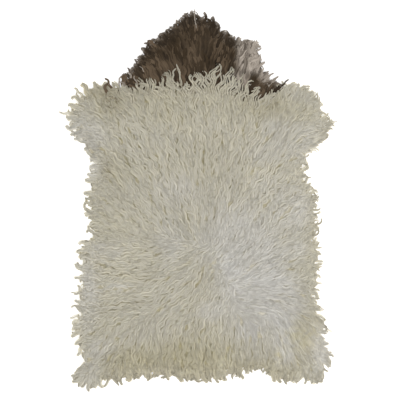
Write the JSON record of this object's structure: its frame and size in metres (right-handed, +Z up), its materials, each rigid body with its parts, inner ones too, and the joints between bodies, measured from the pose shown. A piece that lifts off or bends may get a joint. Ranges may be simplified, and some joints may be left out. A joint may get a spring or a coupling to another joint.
{
  "type": "sheepskin rug",
  "caption": "Flat rug of one long-haired sheepskin in its natural outline, a tanned hide under a lumpy fleece with separate wavy locks around its rim.",
  "frame": {"origin": "centre of the rug's box, on the surface that it lies on", "axes": "+Z up from the surface, +Y towards the neck end, +X to the right seen from above"},
  "size_m": [0.7706, 1.0554, 0.0533],
  "materials": {
    "hide": "tanned skin, suede side, matt, with soft mottling and pores",
    "cream_wool": "long wavy cream wool with a soft sheen, beige towards its roots",
    "brown_wool": "long wavy dark brown wool with greyish streaks, on the neck"
  },
  "bodies": {
    "root": {"hide": "hide", "fleece": "cream_wool"}
  },
  "joints": []
}
